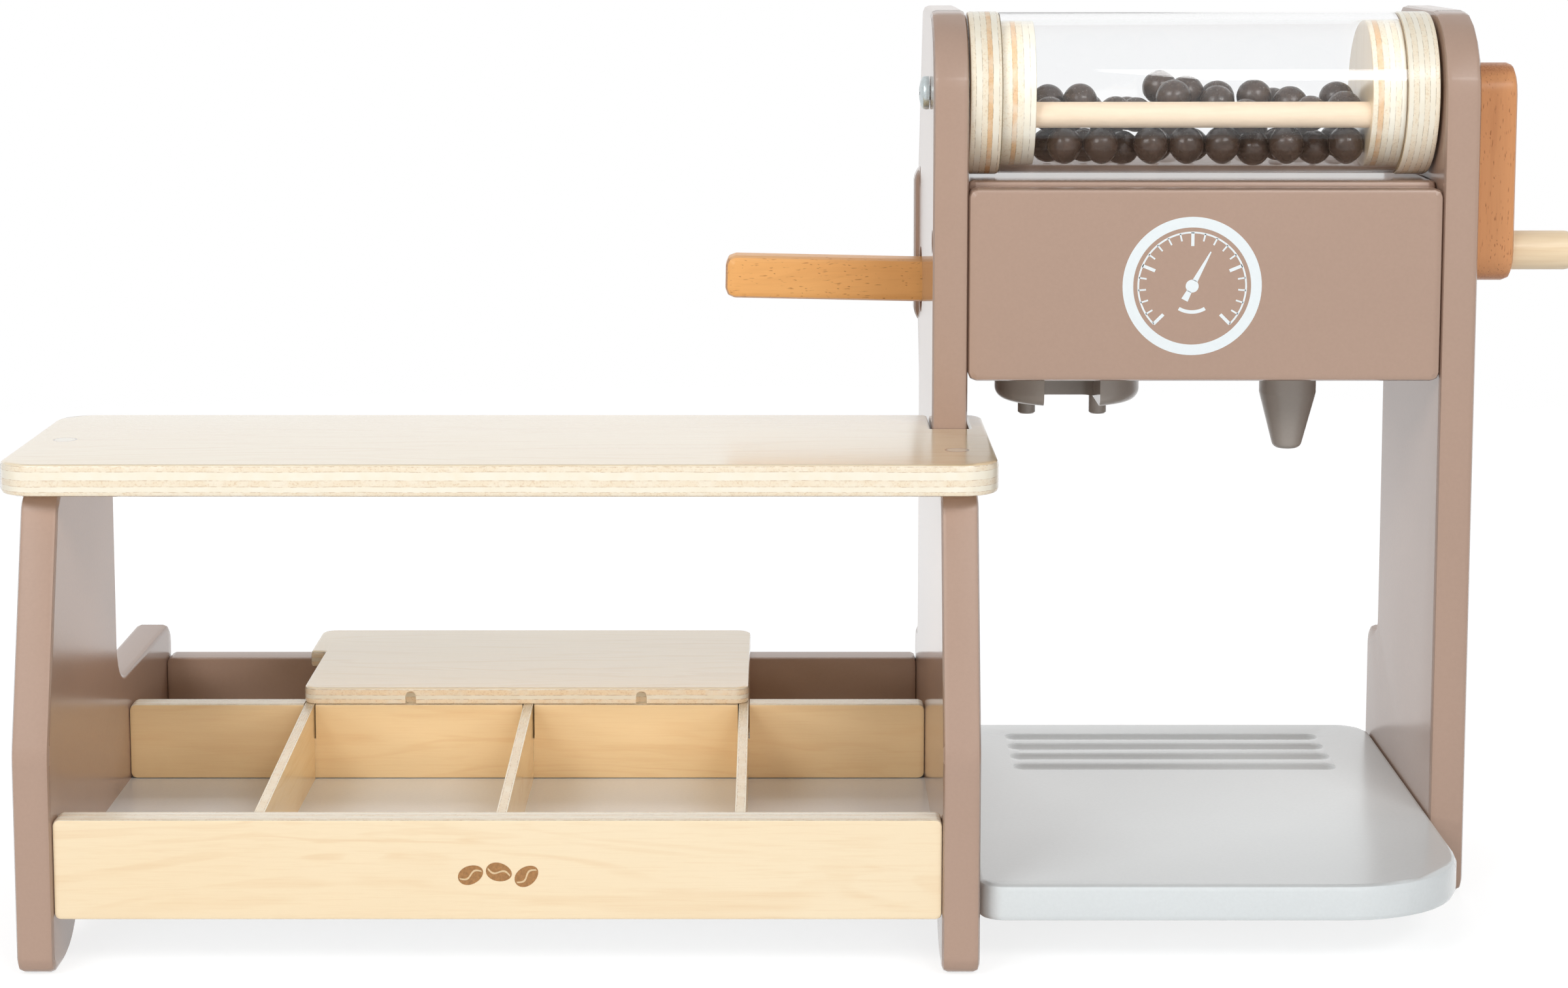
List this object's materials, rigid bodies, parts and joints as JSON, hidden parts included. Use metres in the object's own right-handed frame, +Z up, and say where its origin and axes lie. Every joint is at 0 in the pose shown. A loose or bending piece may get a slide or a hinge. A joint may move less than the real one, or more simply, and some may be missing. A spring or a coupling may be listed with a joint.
{
  "type": "toy coffee maker",
  "caption": "Wooden toy coffee bar: a counter over a divided tray, beside a coffee machine with a crank-turned bean drum, a brew head, a milk nozzle and a tilting hand lever.",
  "frame": {"origin": "bottom centre of the whole toy's bounding box, on the table", "axes": "+X to the right as the child faces the toy, towards the crank; +Y to the back; +Z up"},
  "size_m": [0.5254, 0.2246, 0.3035],
  "materials": {
    "taupe_paint": "satin taupe paint on board, slightly textured",
    "birch_plywood": "clear-lacquered birch plywood with layered edges",
    "birch_dowel": "smooth clear-lacquered dowel",
    "warm_grey_paint": "satin warm grey paint",
    "pale_grey_paint": "satin pale grey paint",
    "dark_grey_paint": "satin dark grey paint on turned wood",
    "clear_acrylic": "clear glossy acrylic tube",
    "bean_brown": "satin dark brown stained beads",
    "zinc_steel": "zinc-plated steel",
    "beech": "oiled beech with fine dark flecks",
    "dark_screws": "black-finished steel"
  },
  "bodies": {
    "stand": {"left_side_panel": "taupe_paint", "middle_side_panel": "taupe_paint", "right_side_panel": "taupe_paint", "countertop": "birch_plywood", "countertop_dowels": "birch_dowel", "tray_front_strip": "birch_plywood", "tray_floor": "warm_grey_paint", "tray_long_divider": "birch_plywood", "cross_divider_left": "birch_plywood", "cross_divider_middle": "birch_plywood", "cross_divider_right": "birch_plywood", "back_rail": "taupe_paint", "base_plate": "pale_grey_paint", "body_front_plate": "taupe_paint", "body_top_board": "taupe_paint", "body_bottom_board": "taupe_paint", "body_rear_plate": "taupe_paint", "brew_head": "dark_grey_paint", "spout_dowels": "dark_grey_paint", "milk_nozzle": "dark_grey_paint", "lever_pivot": "birch_dowel", "left_panel_screws": "dark_screws", "middle_panel_screws": "dark_screws", "right_panel_screws": "dark_screws"},
    "drum": {"drum_left_disc": "birch_plywood", "drum_left_plug": "birch_plywood", "drum_right_disc": "birch_plywood", "drum_right_plug": "birch_plywood", "drum_tube": "clear_acrylic", "drum_tie_rod": "birch_dowel", "beans": "bean_brown", "axle_screw": "zinc_steel", "axle_washer": "zinc_steel", "crank_axle": "birch_dowel", "crank_arm": "beech", "crank_knob": "birch_dowel"},
    "lever": {"lever": "beech"},
    "lid": {"storage_lid": "birch_plywood"}
  },
  "joints": [
    {"name": "drum_spin", "type": "hinge", "parent": "stand", "child": "drum", "pos_m": [0.13075, 0.00825, 0.275], "axis": [1, 0, 0], "continuous": true},
    {"name": "lever_tilt", "type": "hinge", "parent": "stand", "child": "lever", "pos_m": [0.09575, 0.06875, 0.2024], "axis": [0, 1, 0], "range_deg": [-2.3, 2.3]},
    {"name": "lid_lift", "type": "slide", "parent": "stand", "child": "lid", "axis": [0, 0, 1], "range_m": [0, 0.12]}
  ]
}
